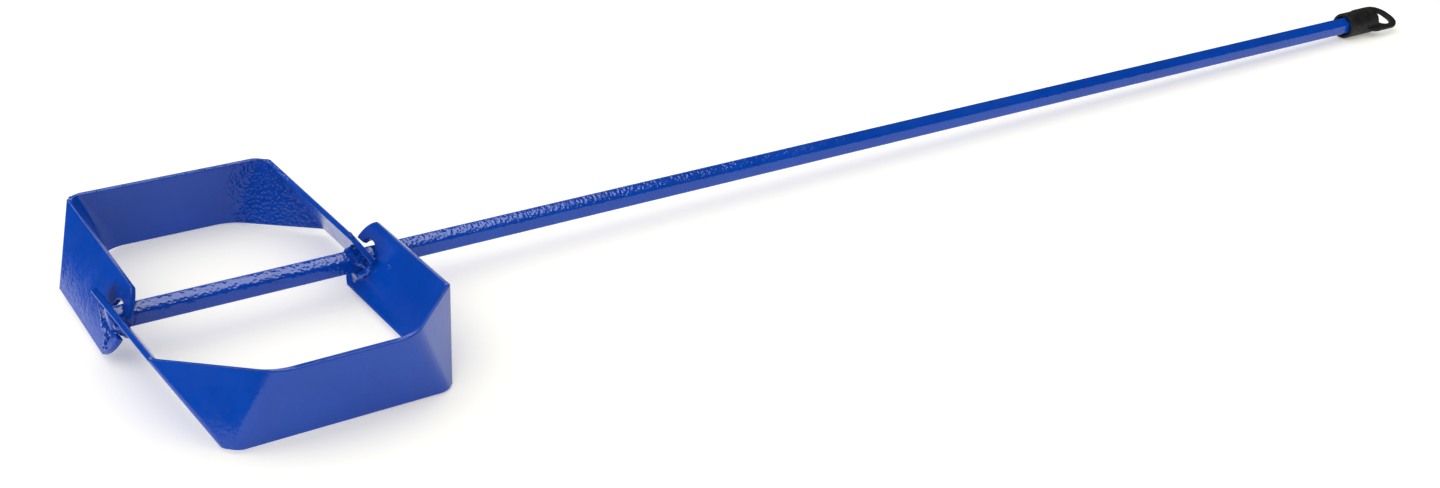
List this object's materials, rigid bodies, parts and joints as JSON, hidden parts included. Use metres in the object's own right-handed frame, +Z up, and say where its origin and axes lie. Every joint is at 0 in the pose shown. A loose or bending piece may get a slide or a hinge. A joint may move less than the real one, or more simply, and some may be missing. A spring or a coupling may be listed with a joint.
{
  "type": "mortar mixing paddle",
  "caption": "Drill-driven mortar mixing paddle: a hexagonal bar with two folded strip blades welded near one end and a push-on hanging cap on the other.",
  "frame": {"origin": "middle of the footprint of the tool as it lies on a floor, at floor level", "axes": "+X along the shaft from the mixing tip to the drill end, +Z up from the floor it lies on, +Y across the blades"},
  "size_m": [0.7936, 0.2084, 0.032],
  "materials": {
    "blue_paint": "gloss",
    "painted_weld": "gloss",
    "black_plastic": "satin"
  },
  "bodies": {
    "paddle": {"hex_shaft": "blue_paint", "near_blade": "blue_paint", "far_blade": "blue_paint", "near_blade_tip_weld": "painted_weld", "far_blade_tip_weld": "painted_weld", "near_blade_mid_weld": "painted_weld", "far_blade_mid_weld": "painted_weld"},
    "cap": {"hanging_cap": "black_plastic"}
  },
  "joints": [
    {"name": "cap_slide", "type": "slide", "parent": "paddle", "child": "cap", "axis": [0.9999, 0.0001, -0.0118], "range_m": [0, 0.04]}
  ]
}
